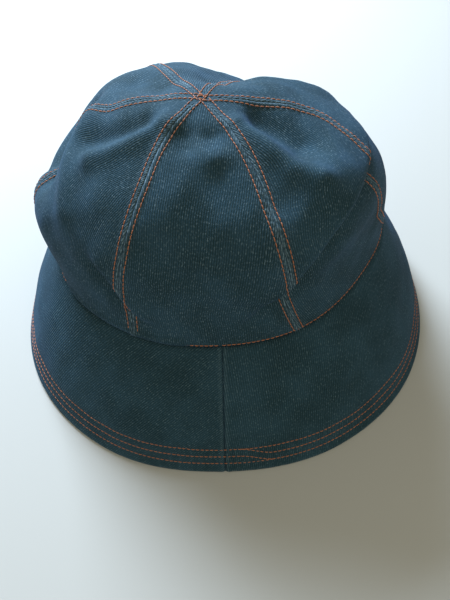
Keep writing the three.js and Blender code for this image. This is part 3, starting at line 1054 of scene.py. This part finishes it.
def crown_row(number, hand):
    """A topstitch row beside a crown seam, from the brim seam up and across the top."""
    levels = np.linspace(*ROW_LEVELS, ROW_POINTS)
    angles = seam_angle(number, levels)
    degree = np.linalg.norm(crown_face(angles + 1, levels) - crown_face(angles - 1, levels), axis=-1) / 2
    angles = angles + hand * ROW_OFF * drawn(levels) / degree
    points = crown_face(angles, levels)
    ahead = unit(points[-1, :2] - points[-1 - AHEAD, :2])
    rest = (TOP[:2] - points[-1, :2]) @ ahead + OVER_TOP
    run = np.linspace(0.02, 1, TOP_POINTS)[:, None]
    angle, level = over_top(points[-1, :2] + ahead * rest * run)
    angles, levels = np.append(angles, angle), np.append(levels, level)
    points = crown_face(angles, levels)
    out = facing(crown_face, angles, np.minimum(levels, FACING_LIMIT), 2.0, 0.01)[2]
    return points + out * (crown_wrinkles(points, levels) + SEAM_ROW_LIFT)[:, None], out


for number, seam_name in enumerate(SEAMS):
    rows = [crown_row(number, hand) for hand in (-1, 1)]
    stitch_mesh("stitching_seam_" + seam_name, rows, SEAM_THREAD_LIFT)

# %% [markdown]
# ## The row round the brim seam
#
# One row goes right round the crown, just above the brim. Where the cloth sags over it, on the left
# front, the row could be left out. It is sunk into the crease instead and stays hidden, as on the real
# hat.

# %% Row round the brim seam
RIM_ROW_LEVEL = 0.014
RIM_ROW_POINTS = 1500
SAG_SINK = 0.9 * MM

round_hat = np.linspace(0, TURN, RIM_ROW_POINTS)
rim_level = np.full_like(round_hat, RIM_ROW_LEVEL)
rim_out = facing(crown_face, round_hat, rim_level, 1, 0.01)[2]
sunk = rim_out * (-SAG_SINK * slack(round_hat))[:, None]
stitch_mesh("stitching_brim_seam", [(crown_face(round_hat, rim_level) + sunk, rim_out)])

# %% [markdown]
# ## The brim's edge stitching
#
# The edge rows follow the spiral. Three closed rings would be simpler, but the thread's shift from row
# to row shows at the front right. The rows lie in their channels, so they are set a little lower.

# %% Brim edge stitching
EDGE_ROW_LIFT = -0.26 * MM
EDGE_ROW_POINTS = 5000

whole_turns = len(EDGE_ROWS) * TURN
turned = np.linspace(0, whole_turns + SPIRAL_SHIFT, EDGE_ROW_POINTS)
thread_angle = SPIRAL_START + turned
off = spiral_off(np.minimum(turned, whole_turns - 1e-6))
reach = 1 - off / brim_slope(thread_angle)
edge_points = brim_face(thread_angle, reach)
edge_out = -facing(brim_face, thread_angle, reach, 1, 0.01)[2]
edge_points += edge_out * (brim_wrinkles(edge_points, off) + EDGE_ROW_LIFT)[:, None]
stitch_mesh("stitching_brim_edge", [(edge_points, edge_out)])

# %% [markdown]
# ## Helpers for shader nodes
#
# Crown and brim are of the same cloth, so what they share becomes node groups. Adding nodes one by one
# makes long scripts. These helpers add a node, set it and link it in one line each.

# %% Node helpers
def node_group(name, inputs, outputs):
    """An empty node group with its sockets, and its two end nodes."""
    group = bpy.data.node_groups.new(name, "ShaderNodeTree")
    for label, kind, value in inputs:
        socket = group.interface.new_socket(label, in_out="INPUT", socket_type="NodeSocket" + kind)
        if value is not None:
            socket.default_value = value
    for label, kind in outputs:
        group.interface.new_socket(label, in_out="OUTPUT", socket_type="NodeSocket" + kind)
    return group, group.nodes.new("NodeGroupInput"), group.nodes.new("NodeGroupOutput")


def put(tree, kind, settings=(), **inputs):
    """A node with its settings and inputs; an input is named with _ for a space, or by i and a number."""
    node = tree.nodes.new("ShaderNode" + kind)
    for label, value in dict(settings).items():
        setattr(node, label, value)
    for label, value in inputs.items():
        key = int(label[1:]) if label[1:].isdigit() else label.replace("_", " ")
        if isinstance(value, bpy.types.NodeSocket):
            tree.links.new(value, node.inputs[key])
        else:
            node.inputs[key].default_value = value
    return node


def calc(tree, operation, *values):
    inputs = {f"i{k}": value for k, value in enumerate(values)}
    return put(tree, "Math", {"operation": operation}, **inputs).outputs[0]


def span(tree, value, low, high, to_low=0.0, to_high=1.0):
    """A value's range moved to another one, smoothly and clamped."""
    node = put(tree, "MapRange", {"interpolation_type": "SMOOTHSTEP"}, Value=value,
               From_Min=low, From_Max=high, To_Min=to_low, To_Max=to_high)
    return node.outputs["Result"]


def noise(tree, cloth, sideways, lengthways, detail=2.0, rough=0.5):
    """Noise over cloth coordinates, with grains of so many millimetres across and along the lines."""
    scale = (CLOTH_UNIT / MM / sideways, CLOTH_UNIT / MM / lengthways, 1.0)
    vector = put(tree, "Mapping", Vector=cloth, Scale=scale).outputs["Vector"]
    return put(tree, "TexNoise", Vector=vector, Scale=1.0, Detail=detail, Roughness=rough).outputs["Fac"]


print("a cloth coordinate of 1 is", round(CLOTH_UNIT / MM), "mm of cloth")

# %% [markdown]
# ## The twill
#
# Denim is a twill: dark blue yarns lie over pale ones and step sideways, which leaves fine slanted
# lines. Washing leaves short flecks where the pale yarn shows, and slow changes of tone. A picture
# could carry this, but a few noises stretched along the twill give the same at any size. The lines are
# a sine wave across the cloth, bent a little by a slow noise, and broken into steps by a fast one.
# Uneven yarns thin the flecks out here and there.

# %% The twill
TWILL_PITCH = 1.15

outputs = [(label, "Float") for label in ("Lines", "Flecks", "Fading", "Height")]
twill, start, end = node_group("denim twill", [("Cloth", "Vector", None)], outputs)
cloth = start.outputs["Cloth"]
wobble = calc(twill, "MULTIPLY", noise(twill, cloth, 9, 22), 4.0)
parts = put(twill, "SeparateXYZ", Vector=cloth)
turns = CLOTH_UNIT / MM / TWILL_PITCH * 2 * math.pi
phase = calc(twill, "MULTIPLY_ADD", parts.outputs["X"], turns, wobble)
lines = calc(twill, "MULTIPLY_ADD", calc(twill, "SINE", phase), 0.5, 0.5)
steps = noise(twill, cloth, 0.7, 1.2, detail=1.0)
streak = noise(twill, cloth, 0.75, 1.35, rough=0.6)
slub = noise(twill, cloth, 2.6, 40)
fleck = calc(twill, "MULTIPLY", span(twill, streak, 0.5, 0.7), span(twill, lines, 0.3, 0.9, 0.25, 1.0))
made = {
    "Lines": calc(twill, "MULTIPLY", lines, span(twill, steps, 0.2, 0.7, 0.35, 1.0)),
    "Flecks": calc(twill, "MULTIPLY", fleck, span(twill, slub, 0.3, 0.7, 0.5, 1.0)),
    "Fading": noise(twill, cloth, 26, 26, detail=3.0, rough=0.55),
    "Height": calc(twill, "MULTIPLY_ADD", steps, 0.5, calc(twill, "MULTIPLY", lines, 0.6)),
}
for label, socket in made.items():
    twill.links.new(socket, end.inputs[label])
print("twill nodes", len(twill.nodes))

# %% [markdown]
# ## The rubbed pale edges
#
# High spots of washed denim are rubbed pale, never evenly: the colour goes in grains and patches, and
# first on the raised lines of the weave. The mesh says where it is rubbed, and this group breaks that
# up.

# %% The rubbed pale edges
inputs = [("Wear", "Float", 0.0), ("Lines", "Float", 0.5), ("Cloth", "Vector", None)]
rubbed, start, end = node_group("rubbed pale", inputs, [("Pale", "Float")])
cloth = start.outputs["Cloth"]
grain = span(rubbed, noise(rubbed, cloth, 1.0, 1.6, rough=0.6), 0.3, 0.6)
patch = span(rubbed, noise(rubbed, cloth, 7, 7), 0.25, 0.6, 0.4, 1.0)
raised = span(rubbed, start.outputs["Lines"], 0.1, 0.7, 0.3, 1.0)
broken = calc(rubbed, "MULTIPLY", calc(rubbed, "MULTIPLY", grain, patch), raised)
rubbed.links.new(calc(rubbed, "MULTIPLY", start.outputs["Wear"], broken), end.inputs["Pale"])
print("rubbing nodes", len(rubbed.nodes))

# %% [markdown]
# ## Denim for crown and brim
#
# The material mixes three colours: the dark of the shaded yarn, the blue of the raised yarn and the
# pale yarn of the flecks and the rubbed spots. A little bluish sheen stands for the fuzz of cotton seen
# edge on. The crown and the brim differ only in their colours. The brim is less worn, so its flecks and
# rubbed spots are less pale. Its dark yarn is painted a little lighter, as painted light that lifts the
# brim's shade.

# %% Denim for crown and brim
def denim(name, dark, blue, pale, rub):
    material = bpy.data.materials.new(name)
    material.use_nodes = True
    tree = material.node_tree
    shader = tree.nodes["Principled BSDF"]
    cloth = put(tree, "UVMap", {"uv_map": "weave"}).outputs["UV"]
    wear = put(tree, "SeparateXYZ", Vector=put(tree, "UVMap", {"uv_map": "wear"}).outputs["UV"]).outputs["X"]
    weave = put(tree, "Group", {"node_tree": twill}, Cloth=cloth).outputs
    rubbing = put(tree, "Group", {"node_tree": rubbed}, Cloth=cloth, Wear=wear, Lines=weave["Lines"])
    worn = rubbing.outputs["Pale"]

    def mixed(factor, a, b):
        return put(tree, "Mix", {"data_type": "RGBA"}, i0=factor, i6=a, i7=b).outputs[2]

    fade = calc(tree, "MULTIPLY", span(tree, weave["Fading"], 0.3, 0.7), 0.35)
    base = mixed(calc(tree, "MULTIPLY_ADD", weave["Lines"], 0.55, fade), dark, blue)
    flecked = mixed(calc(tree, "MULTIPLY", weave["Flecks"], 0.42), base, pale)
    tree.links.new(mixed(calc(tree, "MULTIPLY", worn, rub), flecked, pale), shader.inputs["Base Color"])
    bump = put(tree, "Bump", Height=weave["Height"], Distance=0.3 * MM, Strength=0.7)
    tree.links.new(bump.outputs["Normal"], shader.inputs["Normal"])
    finish = {"Roughness": 0.88, "Specular IOR Level": 0.15, "Sheen Weight": 0.11, "Sheen Roughness": 0.5,
              "Sheen Tint": (0.16, 0.32, 0.75, 1)}
    for label, value in finish.items():
        shader.inputs[label].default_value = value
    return material


crown_denim = denim("crown denim", dark=(0.010, 0.028, 0.031, 1), blue=(0.036, 0.088, 0.138, 1),
                    pale=(0.30, 0.42, 0.50, 1), rub=1.0)
# The brim's dark yarn is painted lighter than the crown's, as painted light that lifts its shade; its less
# pale flecks and weaker rubbing are because it is less worn.
brim_denim_lifted_shade = denim("brim denim with lifted shade", dark=(0.011, 0.031, 0.038, 1), blue=(0.036, 0.088, 0.130, 1),
                   pale=(0.22, 0.33, 0.38, 1), rub=0.8)
for piece in crown_pieces.values():
    piece.data.materials.append(crown_denim)
for piece in brim_pieces.values():
    piece.data.materials.append(brim_denim_lifted_shade)
print(len(crown_pieces), "crown pieces and", len(brim_pieces), "brim pieces in denim")

# %% [markdown]
# ## Topstitch thread
#
# Jeans thread is thick, twisted and rust orange. One plain colour would do from afar, and modelled plies
# would cost ten times the faces. A band texture slanted over the thread's own map gives the twist as
# painted shade between the plies and a painted highlight on them.

# %% Topstitch thread
thread = bpy.data.materials.new("topstitch thread")
thread.use_nodes = True
tree = thread.node_tree
shader = tree.nodes["Principled BSDF"]
lay = put(tree, "UVMap", {"uv_map": "thread"}).outputs["UV"]
bands = put(tree, "TexWave", {"wave_type": "BANDS", "bands_direction": "DIAGONAL"}, Vector=lay, Scale=3.0)
ply = bands.outputs["Fac"]
# The twist is painted light: the dark orange is painted shade between the plies, the light orange a painted
# highlight on them.
painted_ply_shading = put(tree, "Mix", {"data_type": "RGBA"}, i0=ply, i6=(0.26, 0.070, 0.026, 1), i7=(0.60, 0.24, 0.12, 1))
tree.links.new(painted_ply_shading.outputs[2], shader.inputs["Base Color"])
shader.inputs["Roughness"].default_value = 0.6
stitched = [obj for obj in bpy.data.objects if obj.name.startswith("stitching_")]
for obj in stitched:
    obj.data.materials.append(thread)
print(len(stitched), "pieces of stitching")

# %% [markdown]
# ## The floor
#
# The hat stands on a plain pale floor. A curved backdrop would hide its far edge, but the camera looks
# down and never sees that edge, so one wide plane is enough.

# %% Floor
bpy.ops.mesh.primitive_plane_add(size=6, location=(0, 0, -0.3 * MM))
floor = bpy.context.object
floor.name = "floor"
paper = bpy.data.materials.new("plain floor")
paper.use_nodes = True
paper.node_tree.nodes["Principled BSDF"].inputs["Base Color"].default_value = (0.55, 0.54, 0.52, 1)
paper.node_tree.nodes["Principled BSDF"].inputs["Roughness"].default_value = 0.9
floor.data.materials.append(paper)
floor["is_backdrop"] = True
print("floor", [round(side, 1) for side in floor.dimensions], "m")

# %% [markdown]
# ## Light
#
# A picture of a room could light the hat, but a few lamps are easier to steer. One wide soft light stands
# high at the back left, where the folds' tops catch it and the front right falls into shade. It is cool,
# as from a window. A weak warm light at the front and a dim warm surrounding keep the shade open and a
# little green, which makes the denim look deep.

# %% Light
def area_light(name, place, size, power, colour):
    lamp = bpy.data.lights.new(name, "AREA")
    lamp.size, lamp.energy, lamp.color = size, power, colour
    obj = bpy.data.objects.new(name, lamp)
    obj.location = place
    obj.rotation_euler = (-Vector(place) + Vector((0, 0, 0.06))).to_track_quat("-Z", "Y").to_euler()
    bpy.context.scene.collection.objects.link(obj)
    print(name, power, "W")


area_light("window light", (-0.45, 0.85, 0.75), 0.5, 36, (0.70, 0.85, 1.0))
area_light("room light", (0.3, -0.9, 0.9), 1.0, 3.0, (1.0, 0.97, 0.72))
world = bpy.data.worlds.new("pale room")
world.use_nodes = True
world.node_tree.nodes["Background"].inputs["Color"].default_value = (1.0, 0.98, 0.82, 1)
world.node_tree.nodes["Background"].inputs["Strength"].default_value = 0.31
bpy.context.scene.world = world

# %% [markdown]
# ## Camera
#
# The camera looks steeply down from the front and close by, so the near brim and the top of the crown
# look large. It could be placed by eye. Height and tilt worked out from the perspective come closer, and
# only a small shift was left to find.

# %% Camera
camera = bpy.data.objects.new("camera", bpy.data.cameras.new("camera"))
camera.location = (-1.3 * MM, -220.7 * MM, 318 * MM)
camera.rotation_euler = (math.radians(33.5), 0, 0)
camera.data.lens = 31.8
camera.data.clip_start = 0.01
bpy.context.scene.collection.objects.link(camera)
bpy.context.scene.camera = camera
bpy.context.scene.view_settings.view_transform = "Standard"
print("camera", round(camera.location.length, 3), "m from the middle of the hat's foot")

# %% [markdown]
# ## Comparing sizes
#
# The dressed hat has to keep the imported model's size. Looking at both would miss a millimetre, so their
# boxes are written down and printed.

# %% Sizes
boxes = {"cad": [list(corner) for corner in cad_box], "visual": [list(corner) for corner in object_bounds()]}
for name, (low, high) in boxes.items():
    print(name, [round((b - a) / MM, 1) for a, b in zip(low, high)], "mm")
